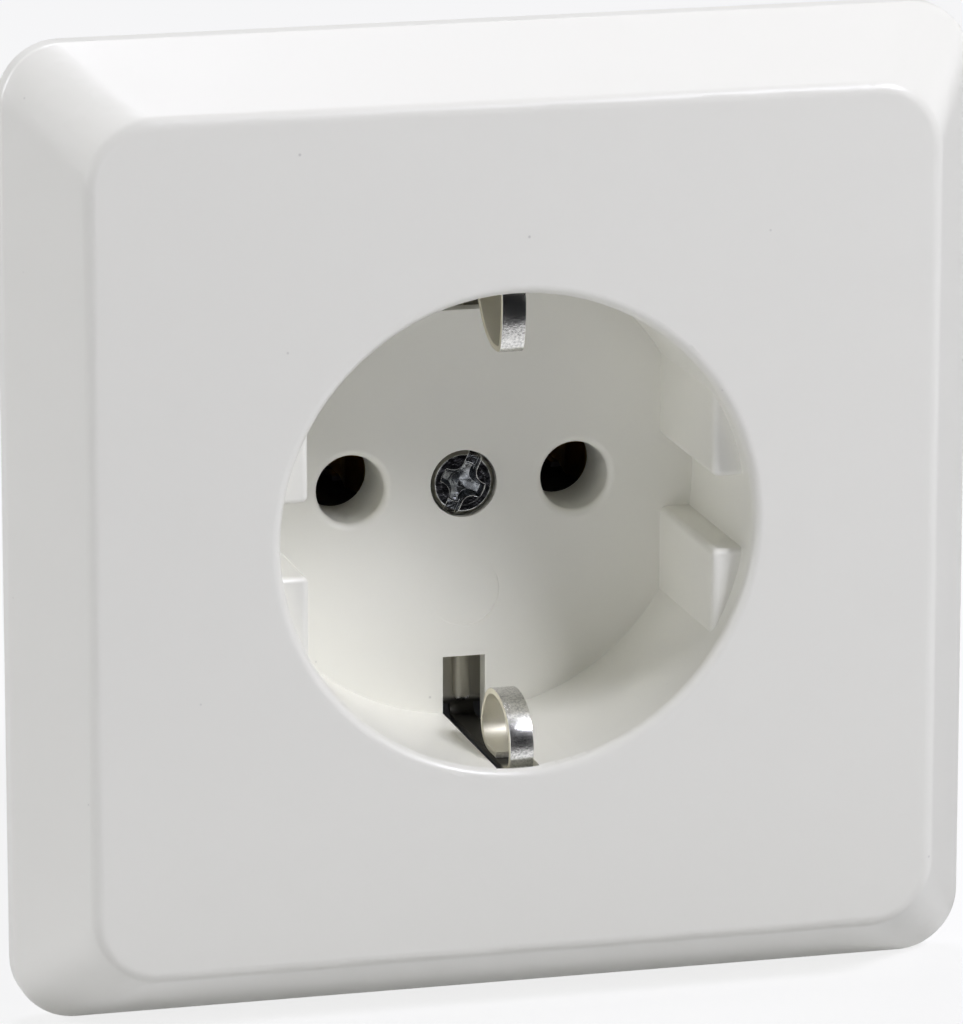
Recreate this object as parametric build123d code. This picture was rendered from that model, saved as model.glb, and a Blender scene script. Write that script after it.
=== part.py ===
from build123d import *
import math
import os

# Drawn with x to the right, y up and z out of the wall, and turned at the end so that +Z is up
# and the face looks along -Y. The wall plane is z = 0 and the well's axis passes through the origin.

# Plate
plate_side = 80.0
plate_corner = 5.0
plate_height = 10.2
plate_edge = 1.8
plate_edge_round = 0.7
plate_wall = 2.2
face_side = 69.8
face_corner = 5.5
face_round = 1.4

# Well
well_diameter = 39.0
well_depth = 17.5
well_wall = 2.0
floor_thickness = 1.6
rim_round = 0.9

# Keys that guide the plug, two on each side of a groove
key_flat_gap = 33.5
key_groove = 6.0
key_setback = 2.4
key_round = 0.6
key_front_round = 0.5

# Plug pins and their bores
pin_spacing = 19.0
pin_diameter = 4.8
pin_length = 19.0
pin_play = 0.9
pin_bore_round = 0.65
sleeve_wall = 1.35
sleeve_length = 5.0

# Earth slots through floor and wall
slot_width = 3.6
slot_reach = 4.9
slot_setback = 0.6

# Bare marking field on the floor
mark_diameter = 6.0
mark_drop = 9.0
mark_depth = 0.1

# Ribs behind the plate
rib_count = 8
rib_thickness = 1.2

# Cover screw and nut
screw_diameter = 3.0
screw_length = 9.5
screw_hole = 3.4
head_diameter = 5.0
head_height = 2.0
head_sink = 0.2
head_round = 0.35
head_bore = 5.65
drive_slot = 0.8
drive_slot_depth = 0.8
cross_width = 1.15
cross_length = 3.5
cross_depth = 1.3
drive_angle = 65.0
boss_wall = 1.5
nut_side = 5.5
nut_height = 2.4
thread_clearance = 0.05

# Earth bracket
strip_thickness = 0.5
strip_width = 2.0
strip_bend = 1.0
bridge_width = 9.0
bridge_inset = 0.1
bridge_gap = 1.3
bead_width = 1.4
bead_height = 0.7
bead_flat = 0.2
bead_start = 6.0
bead_inset = 0.3
loop_reach = 5.4
loop_setback = 1.5
loop_depth = 8.0
loop_leg_inset = 2.5
loop_rear_inset = 1.4
loop_turn = 1.6
loop_curl = 1.3
loop_tail = 1.6
run_inset = 0.7
earth_arm_width = 6.0
earth_arm_x = 5.9

# Contact carrier and rear cover
carrier_side = 44.0
carrier_corner = 8.0
carrier_round = 0.8
carrier_front_wall = 3.4
apron_width = 12.0
apron_reach = 4.5
apron_thickness = 2.0
rear_thickness = 3.0
rear_round = 1.0

# Contact forks and grip springs
fork_thickness = 0.8
fork_width = 4.8
fork_squeeze = 0.5
fork_body_play = 0.6
fork_mouth_play = 1.1
fork_mouth_gap = 0.8
fork_throat_depth = 3.2
fork_body_depth = 7.2
fork_root_gap = 0.5
fork_tail_width = 4.0
grip_thickness = 0.4
grip_height = 2.6
chamber_clearance = 0.8

# Terminals
cage_width = 11.0
cage_depth = 8.4
cage_length = 6.0
cage_wall = 1.2
cage_front_wall = 2.0
live_cage_shift = 2.1
live_cage_inset = 6.3
earth_cage_x = 12.0
earth_cage_inset = 6.1
terminal_screw_diameter = 3.2
terminal_screw_pitch = 5.4
terminal_head_diameter = 5.0
terminal_head_height = 1.8
terminal_head_stand = 1.6
clamp_thickness = 1.2
wire_diameter = 2.8
pocket_clearance = 0.15

# Mounting frame and rivets
frame_inset = 4.5
frame_corner = 9.0
frame_thickness = 1.2
frame_hole_clearance = 1.2
frame_bend = 1.2
leg_width = 14.0
leg_clearance = 0.6
foot_margin = 3.2
leg_relief = 0.5
box_slot_edge = 5.5
box_slot_length = 6.4
box_slot_width = 4.2
rivet_diameter = 3.0
rivet_head = 5.0
rivet_head_height = 0.6
rivet_head_round = 0.4
rivet_inset = 3.6
fit_clearance = 0.1

# How far a cutter runs past the face that it opens
cut_over = 1.0

# Levels along z and radii that several pieces share
face_z = plate_height
floor_z = face_z - well_depth
floor_back_z = floor_z - floor_thickness
bridge_front_z = floor_back_z - bridge_gap
carrier_z = bridge_front_z - strip_thickness
fork_root_z = floor_z - pin_length - fork_root_gap
carrier_back_z = fork_root_z - fork_thickness
rear_z = carrier_back_z - rear_thickness
well_radius = well_diameter / 2
pin_bore = pin_diameter + pin_play
fork_throat = pin_diameter - fork_squeeze
fork_body = pin_diameter + fork_body_play
fork_mouth = pin_diameter + fork_mouth_play
well_outer = well_radius + well_wall
slot_inner = well_radius - slot_reach
bridge_reach = well_radius - bridge_inset
bead_end = well_radius - bead_inset
loop_crown = well_radius - loop_reach
loop_leg = well_radius - loop_leg_inset
loop_rear = well_radius - loop_rear_inset
live_cage_y = well_radius - live_cage_inset
earth_cage_y = well_radius - earth_cage_inset
sleeve_radius = pin_bore / 2 + sleeve_wall
sleeve_end_z = floor_back_z - sleeve_length
head_seat_z = floor_z - head_sink - head_height
cage_back_z = carrier_back_z - cage_wall
cage_front_z = cage_back_z + cage_depth
clamp_z = carrier_back_z + fork_thickness + wire_diameter
terminal_tip_z = clamp_z + clamp_thickness
terminal_head_z = cage_front_z + terminal_head_stand
fork_mouth_z = carrier_z - carrier_front_wall - fork_mouth_gap
fork_body_z = fork_mouth_z - fork_body_depth
frame_side = plate_side - 2 * frame_inset
box_screw_spacing = frame_side - 2 * box_slot_edge
leg_x = max(carrier_side / 2, well_outer) + leg_clearance + frame_thickness / 2
rivet_x = carrier_side / 2 - rivet_inset
foot_end_x = rivet_x - foot_margin
live_cage_x = pin_spacing / 2 + live_cage_shift


def block(x0, x1, y0, y1, z0, z1):
    """Box between two corners."""
    size = (x1 - x0, y1 - y0, z1 - z0)
    return Pos((x0 + x1) / 2, (y0 + y1) / 2, (z0 + z1) / 2) * Box(*size)


def rod(radius, z0, z1, x=0.0, y=0.0):
    """Cylinder along z between two levels."""
    return Pos(x, y, (z0 + z1) / 2) * Cylinder(radius, z1 - z0)


def slab(profile, z0, z1):
    """Flat profile raised from one level to another."""
    return extrude(Pos(0, 0, z0) * profile, amount=z1 - z0)


def square_slab(side, corner, z0, z1):
    """Square slab with rounded corners."""
    return slab(RectangleRounded(side, side, corner), z0, z1)


def flared_bore(radius, flare, top_z, bottom_z):
    """Round hole whose mouth at top_z opens out with a rounded edge."""
    mouth = radius + flare
    outline = Polyline((0, bottom_z), (radius, bottom_z), (radius, top_z - flare))
    outline += RadiusArc((radius, top_z - flare), (mouth, top_z), flare)
    outline += Polyline((mouth, top_z), (mouth, top_z + flare), (0, top_z + flare), (0, bottom_z))
    return revolve(Plane.XZ * make_face(outline), Axis.Z)


def strip_side(points, radius, offset):
    """One side of a strip: the path moved sideways by offset, with its bends' radii to suit."""
    headings = [(b - a).normalized() for a, b in zip(points, points[1:])]
    normals = [Vector(-h.Y, h.X) for h in headings]
    corners = [points[0] + normals[0] * offset]
    radii = []
    for k in range(1, len(headings)):
        turn = headings[k - 1].cross(headings[k]).Z
        middle = (normals[k - 1] + normals[k]).normalized()
        corners.append(points[k] + middle * (offset / middle.dot(normals[k])))
        radii.append(radius - math.copysign(1, turn) * offset)
    corners.append(points[-1] + normals[-1] * offset)
    return corners, radii


def bent_strip(plane, points, radius, thickness, width):
    """Sheet strip bent along a flat path on a plane, with its width along the plane's normal."""
    points = [Vector(*p) for p in points]
    left, left_radii = strip_side(points, radius, thickness / 2)
    right, right_radii = strip_side(points, radius, -thickness / 2)
    outline = FilletPolyline(*left, radius=left_radii) + FilletPolyline(*right, radius=right_radii)
    outline += Line(left[0], right[0]) + Line(left[-1], right[-1])
    return extrude(plane * make_face(outline.edges()), amount=width / 2, both=True)


def mirrored(piece):
    """Mirror image across the x = 0 plane."""
    return mirror(piece, Plane.YZ)


def plate_solid(inset, z_top):
    """Bevelled plate body, or the hollow inside it when inset is above zero."""
    rise = face_z - plate_edge
    run = (plate_side - face_side) / 2
    side_inset = inset * math.hypot(rise, run) / rise
    base_side = plate_side - 2 * side_inset
    top_side = base_side - 2 * run * (z_top - plate_edge) / rise
    base_corner = max(plate_corner - inset, inset / 2)
    top_corner = max(face_corner - inset, inset / 2)
    edge = square_slab(base_side, base_corner, 0, plate_edge)
    bevel = loft(
        [
            Pos(0, 0, plate_edge) * RectangleRounded(base_side, base_side, base_corner),
            Pos(0, 0, z_top) * RectangleRounded(top_side, top_side, top_corner),
        ],
        ruled=True,
    )
    return edge + bevel


def cover():
    """Plate, keyed well, sleeves, boss and ribs in one moulding."""
    shell = plate_solid(0, face_z)
    shell = fillet(shell.edges().group_by(Axis.Z)[-1], face_round)
    lower_rim = [e for e in shell.edges() if abs(e.center().Z - plate_edge) < plate_edge / 10]
    shell = fillet(lower_rim, plate_edge_round)
    shell -= plate_solid(plate_wall, face_z - plate_wall)
    shell += ribs()
    shell += rod(well_outer, floor_back_z, face_z - plate_wall / 2)
    shell += [rod(sleeve_radius, sleeve_end_z, floor_z, x=x) for x in pin_places()]
    shell += rod(head_bore / 2 + boss_wall, bridge_front_z, floor_z)
    shell -= flared_bore(well_radius, rim_round, face_z, floor_z)
    shell += keys()

    half = slot_width / 2
    slot = block(-half, half, slot_inner, well_outer, bridge_front_z, face_z - slot_setback)
    shell -= [slot, mirror(slot, Plane.XZ)]
    pin_hole = flared_bore(pin_bore / 2, pin_bore_round, floor_z, sleeve_end_z - cut_over)
    shell -= [Pos(x, 0, 0) * pin_hole for x in pin_places()]
    shell -= rod(head_bore / 2, head_seat_z, floor_z + cut_over)
    shell -= rod(screw_hole / 2, bridge_front_z - cut_over, floor_z)
    shell -= rod(mark_diameter / 2, floor_z - mark_depth, floor_z + cut_over, y=-mark_drop)
    return shell


def pin_places():
    """Places of the two pins along x, live and neutral in turn."""
    return -pin_spacing / 2, pin_spacing / 2


def ribs():
    """Ribs behind the plate from the well's wall out to the bevel."""
    half = rib_thickness / 2
    rib_z = frame_thickness + plate_wall / 2
    rib = block(well_outer - well_wall / 2, plate_side, -half, half, rib_z, face_z - plate_wall / 2)
    body = plate_solid(plate_wall / 2, face_z - plate_wall / 2)
    return [body & Rot(0, 0, (k + 0.5) * 360 / rib_count) * rib for k in range(rib_count)]


def keys():
    """Four guide keys that fill the well's sides beyond the flats, with a groove between each pair."""
    x_flat = key_flat_gap / 2
    outer = well_radius + well_wall / 2
    key_top = face_z - key_setback
    segment = slab(Circle(outer), floor_z - floor_thickness / 2, key_top)
    one = segment & block(x_flat, outer, key_groove / 2, outer, floor_z - floor_thickness / 2, key_top)
    corner = [e for e in one.edges() if abs(e.center().X - x_flat) < key_round / 10]
    corner = [e for e in corner if e.center().Y < outer / 2]
    one = fillet(corner, key_round)
    front = one.edges().group_by(Axis.Z)[-1]
    front = [e for e in front if math.hypot(e.center().X, e.center().Y) < well_radius]
    one = fillet(front, key_front_round)
    pair = [one, mirror(one, Plane.XZ)]
    return pair + [mirrored(k) for k in pair]


def cover_screw():
    """Cheese head with slot and cross recess, and a plain shank in place of its thread."""
    top_z = floor_z - head_sink
    head = rod(head_diameter / 2, head_seat_z, top_z)
    head = fillet(head.edges().group_by(Axis.Z)[-1], head_round)
    over_z = top_z + cut_over
    half = drive_slot / 2
    recess = block(-head_diameter, head_diameter, -half, half, top_z - drive_slot_depth, over_z)
    arm_x, arm_y = cross_length / 2, cross_width / 2
    arm = block(-arm_x, arm_x, -arm_y, arm_y, top_z - cross_depth, over_z)
    recess += [arm, Rot(0, 0, 90) * arm]
    screw = head - Rot(0, 0, drive_angle) * recess
    return screw + rod(screw_diameter / 2, head_seat_z - screw_length, head_seat_z)


def cover_nut():
    """Square nut held in the carrier behind the bridge."""
    body = slab(Rectangle(nut_side, nut_side), carrier_z - nut_height, carrier_z)
    bore = screw_diameter / 2 + thread_clearance
    return body - rod(bore, carrier_z - nut_height - cut_over, carrier_z + cut_over)


def loop_side(shift):
    """One side of the loop's strip, its middle line moved inwards by shift."""
    half = strip_thickness / 2
    mid_z = bridge_front_z - half
    run_y = well_radius + run_inset + half
    front_z = face_z - loop_setback - half
    turn_back_z = face_z - loop_setback - loop_depth + half
    crown_y = loop_crown + half
    crown_z = (front_z + turn_back_z) / 2
    crown_rise = front_z - crown_z - shift
    turn_y = run_y - loop_turn
    turn_z = front_z - loop_turn
    curl_z = turn_back_z + loop_curl
    tail_y = loop_rear + loop_curl - shift

    side = Line((bridge_reach - strip_width, mid_z + shift), (run_y - strip_bend, mid_z + shift))
    side += CenterArc((run_y - strip_bend, mid_z + strip_bend), strip_bend - shift, 270, 90)
    side += Line((run_y - shift, mid_z + strip_bend), (run_y - shift, turn_z))
    side += CenterArc((turn_y, turn_z), loop_turn - shift, 0, 90)
    side += Line((turn_y, front_z - shift), (loop_leg, front_z - shift))
    leg_run = loop_leg - crown_y - shift
    side += EllipticalCenterArc((loop_leg, crown_z), leg_run, crown_rise, 90, arc_size=90)
    rear_run = loop_rear - crown_y - shift
    side += EllipticalCenterArc((loop_rear, crown_z), rear_run, crown_rise, 180, arc_size=90)
    side += CenterArc((loop_rear, curl_z), loop_curl - shift, 270, 90)
    side += Line((tail_y, curl_z), (tail_y, curl_z + loop_tail))
    return side.edges()


def earth_loop():
    """One spring loop: out along the wall slot, over the crown, down the rear leg and curled under."""
    inner = loop_side(strip_thickness / 2)
    outer = loop_side(-strip_thickness / 2)
    start = Line(inner[0] @ 0, outer[0] @ 0)
    end = Line(inner[-1] @ 1, outer[-1] @ 1)
    profile = make_face(inner + outer + [start, end])
    return extrude(Plane.YZ * profile, amount=strip_width / 2, both=True)


def earth_bracket():
    """Bridge with a pressed bead, a spring loop at each end and an arm back to the earth terminal."""
    half = bridge_width / 2
    bridge = block(-half, half, -bridge_reach, bridge_reach, carrier_z, bridge_front_z)
    bridge = fillet(bridge.edges().filter_by(Axis.Z), strip_width)
    bead = bead_form(bead_width / 2, bridge_front_z, bead_height)
    hollow = bead_form(bead_width / 2 - strip_thickness, carrier_z, bead_height)
    loop = earth_loop()
    bridge += [bead, mirror(bead, Plane.XZ), loop, mirror(loop, Plane.XZ)]
    bridge -= [hollow, mirror(hollow, Plane.XZ)]
    bridge -= rod(screw_hole / 2, carrier_z - cut_over, bridge_front_z + cut_over)
    mid_z = (bridge_front_z + carrier_z) / 2
    tail_z = carrier_back_z + strip_thickness / 2
    path = [
        (half - strip_thickness, mid_z),
        (earth_arm_x, mid_z),
        (earth_arm_x, tail_z),
        (earth_cage_x + cage_length / 2, tail_z),
    ]
    arm = bent_strip(Plane.XZ, path, strip_bend, strip_thickness, earth_arm_width)
    return bridge + Pos(0, -earth_cage_y, 0) * arm


def bead_form(radius, base_z, height):
    """Half-round bar with round ends, lying along y on the level base_z."""
    plan = SlotOverall(bead_end - bead_start, 2 * radius, rotation=90)
    bar = slab(Pos(0, (bead_start + bead_end) / 2) * plan, base_z, base_z + height)
    return fillet(bar.edges().group_by(Axis.Z)[-1], min(radius, height) - bead_flat / 2)


def live_cage_pocket(clearance, z0, z1):
    """Room for the live cage between two levels."""
    w, h = cage_width / 2 + clearance, cage_length / 2 + clearance
    return block(-live_cage_x - w, -live_cage_x + w, live_cage_y - h, live_cage_y + h, z0, z1)


def earth_cage_pocket(clearance, z0, z1):
    """Room for the earth cage between two levels."""
    w, h = cage_length / 2 + clearance, cage_width / 2 + clearance
    return block(earth_cage_x - w, earth_cage_x + w, -earth_cage_y - h, -earth_cage_y + h, z0, z1)


def screw_places():
    """Centres of the terminal screws, live, neutral and earth in turn."""
    half = terminal_screw_pitch / 2
    live = [(-live_cage_x + s * half, live_cage_y) for s in (-1, 1)]
    neutral = [(-x, y) for x, y in live]
    earth = [(earth_cage_x, -earth_cage_y + s * half) for s in (-1, 1)]
    return live, neutral, earth


def shaft(places):
    """Open shaft over the two screws of one terminal."""
    (x0, y0), (x1, y1) = places
    width = terminal_head_diameter + 4 * fit_clearance
    turn = math.degrees(math.atan2(y1 - y0, x1 - x0))
    outline = Rot(0, 0, turn) * SlotCenterToCenter(terminal_screw_pitch, width)
    return slab(Pos((x0 + x1) / 2, (y0 + y1) / 2) * outline, cage_front_z, carrier_z + cut_over)


def contact_carrier():
    """Insulating body with pockets for the contacts, wire ways, shafts and an apron behind each earth slot."""
    body = square_slab(carrier_side, carrier_corner, carrier_back_z, carrier_z)
    body = fillet(body.edges().group_by(Axis.Z)[-1], carrier_round)
    front_z = carrier_z + cut_over
    back_z = carrier_back_z - cut_over
    chamber_z = carrier_z - carrier_front_wall
    chamber_x = fork_mouth / 2 + fork_thickness + chamber_clearance
    chamber_y = fork_width / 2 + grip_thickness + chamber_clearance
    pocket_z = cage_front_z + pocket_clearance
    wire_z = carrier_back_z + fork_thickness + wire_diameter / 2
    half = carrier_side / 2
    pin_x = pin_places()[0]
    live, _, earth = screw_places()
    apron_x = apron_width / 2
    apron_root = half - 2 * carrier_round
    apron = block(-apron_x, apron_x, apron_root, half + apron_reach, carrier_z - apron_thickness, carrier_z)
    apron = fillet(apron.edges().filter_by(Axis.Z), carrier_round)
    body += [apron, mirror(apron, Plane.XZ)]

    sleeve_hole = rod(sleeve_radius + fit_clearance, chamber_z, front_z, x=pin_x)
    chamber = block(pin_x - chamber_x, pin_x + chamber_x, -chamber_y, chamber_y, back_z, chamber_z)
    tail_x = fork_tail_width / 2 + pocket_clearance
    tail_z = carrier_back_z + fork_thickness + pocket_clearance
    tail_way = block(pin_x - tail_x, pin_x + tail_x, 0, live_cage_y, back_z, tail_z)
    wire_way = Rot(-90, 0, 0) * rod(wire_diameter / 2, live_cage_y, half + cut_over)
    rivet_hole = rod(rivet_diameter / 2 + fit_clearance, back_z, front_z, x=-rivet_x)
    foot_y = leg_width / 2 + fit_clearance
    foot_z = carrier_z - frame_thickness
    foot_bed = block(-half - cut_over, fit_clearance - foot_end_x, -foot_y, foot_y, foot_z, front_z)
    pocket = live_cage_pocket(pocket_clearance, back_z, pocket_z)
    cuts = [sleeve_hole, chamber, tail_way, pocket, rivet_hole, foot_bed, shaft(live)]
    cuts += [Pos(x, 0, wire_z) * wire_way for x, y in live]
    for cut in cuts:
        body -= [cut, mirrored(cut)]

    earth_wire_way = Rot(0, 90, 0) * rod(wire_diameter / 2, earth_cage_x, half + cut_over)
    body -= [Pos(0, y, wire_z) * earth_wire_way for x, y in earth]
    body -= [earth_cage_pocket(pocket_clearance, back_z, pocket_z), shaft(earth)]
    arm_y0 = -earth_cage_y - earth_arm_width / 2 - pocket_clearance
    arm_y1 = -earth_cage_y + earth_arm_width / 2 + pocket_clearance
    arm_x0 = earth_arm_x - strip_bend - pocket_clearance
    arm_x1 = earth_arm_x + strip_thickness / 2 + pocket_clearance
    low_z = carrier_back_z + strip_thickness + strip_bend
    body -= block(arm_x0, arm_x1, arm_y0, arm_y1, back_z, front_z)
    body -= block(arm_x0, earth_cage_x, arm_y0, arm_y1, back_z, low_z)

    nut_hole = nut_side + 2 * fit_clearance
    body -= slab(Rectangle(nut_hole, nut_hole), carrier_z - nut_height - fit_clearance, front_z)
    body -= rod(screw_hole / 2, head_seat_z - screw_length - strip_thickness, carrier_z)
    return body


def rear_cover():
    """Lid behind the contacts, with hollows for the backs of the cages."""
    lid = square_slab(carrier_side, carrier_corner, rear_z, carrier_back_z)
    lid = fillet(lid.edges().group_by(Axis.Z)[0], rear_round)
    front_z = carrier_back_z + cut_over
    live_pocket = live_cage_pocket(pocket_clearance, cage_back_z, front_z)
    lid -= [live_pocket, mirrored(live_pocket)]
    lid -= earth_cage_pocket(pocket_clearance, cage_back_z, front_z)
    hole = rod(rivet_diameter / 2 + fit_clearance, rear_z - cut_over, front_z, x=rivet_x)
    return lid - [hole, mirrored(hole)]


def live_contact():
    """Fork spring with a tail that lies in the terminal cage."""
    half = fork_thickness / 2
    leaf = [
        (fork_mouth / 2 + half, fork_mouth_z),
        (fork_throat / 2 + half, fork_mouth_z - fork_throat_depth),
        (fork_body / 2 + half, fork_body_z),
        (fork_body / 2 + half, fork_root_z - half),
    ]
    path = leaf + [(-x, z) for x, z in reversed(leaf)]
    fork = bent_strip(Plane.XZ, path, fork_thickness, fork_thickness, fork_width)
    tail_x = fork_tail_width / 2
    tail_end = live_cage_y + cage_length / 2
    tail = block(-tail_x, tail_x, 0, tail_end, carrier_back_z, fork_root_z)
    return Pos(pin_places()[0], 0, 0) * (fork + tail)


def live_grip_spring():
    """Clip of spring steel that holds the fork's leaves together above its root."""
    inner_x = fork_body + 2 * fork_thickness
    inner_y = fork_width + 2 * fit_clearance
    band = RectangleRounded(inner_x + 2 * grip_thickness, inner_y + 2 * grip_thickness, grip_thickness)
    band -= Rectangle(inner_x, inner_y)
    band -= Pos(0, -inner_y / 2) * Rectangle(fork_throat, inner_y / 2)
    top_z = fork_body_z - fork_thickness / 2
    return Pos(pin_places()[0], 0, 0) * slab(band, top_z - grip_height, top_z)


def cage(pocket, inner, places):
    """Brass box open at both ends, with a thick tapped front wall."""
    bore = terminal_screw_diameter / 2 + thread_clearance
    return pocket - inner - [rod(bore, clamp_z, cage_front_z + cut_over, x, y) for x, y in places]


def live_terminal():
    """Cage whose open ends face along y."""
    w = cage_width / 2 - cage_wall
    reach = live_cage_y + cage_length
    inner_z = cage_front_z - cage_front_wall
    inner = block(-live_cage_x - w, -live_cage_x + w, 0, reach, carrier_back_z, inner_z)
    return cage(live_cage_pocket(0, cage_back_z, cage_front_z), inner, screw_places()[0])


def earth_terminal():
    """Cage whose open ends face along x."""
    h = cage_width / 2 - cage_wall
    y0, y1 = -earth_cage_y - h, -earth_cage_y + h
    reach = earth_cage_x + cage_length
    inner = block(0, reach, y0, y1, carrier_back_z, cage_front_z - cage_front_wall)
    return cage(earth_cage_pocket(0, cage_back_z, cage_front_z), inner, screw_places()[2])


def clamp_plate(x_size, y_size, x, y):
    """Pressure plate under a pair of terminal screws."""
    plate = Pos(x, y) * Rectangle(x_size, y_size)
    return slab(plate, clamp_z, terminal_tip_z)


def live_clamp_plate():
    """Pressure plate in the live cage."""
    width = cage_width - 2 * cage_wall - 2 * fit_clearance
    return clamp_plate(width, cage_length - 2 * fit_clearance, -live_cage_x, live_cage_y)


def earth_clamp_plate():
    """Pressure plate in the earth cage."""
    width = cage_width - 2 * cage_wall - 2 * fit_clearance
    return clamp_plate(cage_length - 2 * fit_clearance, width, earth_cage_x, -earth_cage_y)


def terminal_screw():
    """Slotted terminal screw on the z axis."""
    top_z = terminal_head_z + terminal_head_height
    head = rod(terminal_head_diameter / 2, terminal_head_z, top_z)
    slot_z = top_z - terminal_head_height / 2
    half = drive_slot / 2
    reach = terminal_head_diameter
    head -= block(-reach, reach, -half, half, slot_z, top_z + cut_over)
    return head + rod(terminal_screw_diameter / 2, terminal_tip_z, terminal_head_z)


def terminal_screws(places):
    """The two screws of one terminal."""
    return Compound(children=[Pos(x, y, 0) * terminal_screw() for x, y in places])


def mounting_frame():
    """Sheet frame against the wall, with box screw slots and two legs whose feet carry the carrier."""
    bend_x = leg_x + frame_bend
    outline = RectangleRounded(frame_side, frame_side, frame_corner)
    outline -= Circle(well_outer + frame_hole_clearance)
    outline -= Rectangle(2 * bend_x, leg_width + 2 * leg_relief)
    mid = frame_thickness / 2
    foot_z = carrier_z - mid
    path = [(bend_x + frame_thickness, mid), (leg_x, mid), (leg_x, foot_z), (foot_end_x, foot_z)]
    leg = bent_strip(Plane.XZ, path, frame_bend, frame_thickness, leg_width)
    hole = rivet_diameter / 2 + fit_clearance
    leg -= rod(hole, foot_z - frame_thickness, carrier_z + cut_over, x=rivet_x)
    frame = slab(outline, 0, frame_thickness) + [leg, mirrored(leg)]
    slot = Pos(box_screw_spacing / 2, 0) * SlotOverall(box_slot_length, box_slot_width)
    slot = slab(slot, -cut_over, frame_thickness + cut_over)
    return frame - [Rot(0, 0, 90 * turn) * slot for turn in range(4)]


def frame_rivets():
    """Two rivets from the frame's feet through to the back of the rear cover."""
    head = rod(rivet_head / 2, 0, rivet_head_height)
    head = fillet(head.edges().group_by(Axis.Z)[-1], rivet_head_round)
    rivet = rod(rivet_diameter / 2, rear_z, carrier_z) + Pos(0, 0, carrier_z) * head
    rivet += Pos(0, 0, rear_z) * mirror(head, Plane.XY)
    return Compound(children=[Pos(side * rivet_x, 0, 0) * rivet for side in (-1, 1)])


live_screws, neutral_screws, earth_screws = screw_places()
nodes = {
    "cover": cover(),
    "cover_screw": cover_screw(),
    "cover_nut": cover_nut(),
    "earth_bracket": earth_bracket(),
    "mounting_frame": mounting_frame(),
    "frame_rivets": frame_rivets(),
    "contact_carrier": contact_carrier(),
    "rear_cover": rear_cover(),
    "live_contact": live_contact(),
    "neutral_contact": mirrored(live_contact()),
    "live_grip_spring": live_grip_spring(),
    "neutral_grip_spring": mirrored(live_grip_spring()),
    "live_terminal": live_terminal(),
    "neutral_terminal": mirrored(live_terminal()),
    "earth_terminal": earth_terminal(),
    "live_clamp_plate": live_clamp_plate(),
    "neutral_clamp_plate": mirrored(live_clamp_plate()),
    "earth_clamp_plate": earth_clamp_plate(),
    "live_terminal_screws": terminal_screws(live_screws),
    "neutral_terminal_screws": terminal_screws(neutral_screws),
    "earth_terminal_screws": terminal_screws(earth_screws),
}

os.makedirs("parts", exist_ok=True)
stand_up = Rot(90, 0, 0)
for name, piece in nodes.items():
    export_step(stand_up * piece, f"parts/{name}.step")
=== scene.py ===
import math

import bmesh
import bpy
from bpy.props import FloatProperty, FloatVectorProperty, IntProperty, PointerProperty
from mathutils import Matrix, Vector


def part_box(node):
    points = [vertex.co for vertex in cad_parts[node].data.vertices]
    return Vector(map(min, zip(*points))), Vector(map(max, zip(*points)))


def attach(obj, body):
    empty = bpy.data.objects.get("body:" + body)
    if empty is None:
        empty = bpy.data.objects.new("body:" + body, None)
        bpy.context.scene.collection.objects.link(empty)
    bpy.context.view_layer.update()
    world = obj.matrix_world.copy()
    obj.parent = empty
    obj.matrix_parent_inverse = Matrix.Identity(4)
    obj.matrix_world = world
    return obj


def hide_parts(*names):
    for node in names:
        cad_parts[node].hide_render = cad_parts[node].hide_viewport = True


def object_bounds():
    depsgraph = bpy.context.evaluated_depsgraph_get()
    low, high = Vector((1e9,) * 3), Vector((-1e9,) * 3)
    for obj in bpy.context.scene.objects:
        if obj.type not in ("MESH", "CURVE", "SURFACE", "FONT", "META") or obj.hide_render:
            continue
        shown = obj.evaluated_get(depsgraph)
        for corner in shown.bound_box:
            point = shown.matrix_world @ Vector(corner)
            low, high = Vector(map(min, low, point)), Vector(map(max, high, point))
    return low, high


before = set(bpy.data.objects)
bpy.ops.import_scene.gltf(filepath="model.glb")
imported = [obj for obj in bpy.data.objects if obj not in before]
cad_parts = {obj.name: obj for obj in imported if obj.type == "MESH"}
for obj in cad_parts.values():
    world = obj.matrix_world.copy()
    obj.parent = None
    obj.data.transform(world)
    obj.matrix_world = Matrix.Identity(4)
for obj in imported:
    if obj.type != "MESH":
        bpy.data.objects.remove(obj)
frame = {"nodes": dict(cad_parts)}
cad_low, cad_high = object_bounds()

bl_info = {
    "name": "Flush Socket",
    "version": (1, 0, 0),
    "blender": (4, 5, 0),
    "location": "View3D > Sidebar > Flush Socket",
    "description": "Dresses the flush socket's solids with softened edges, formed metal and finishes",
    "category": "Object",
}

MM = 0.001

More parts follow.
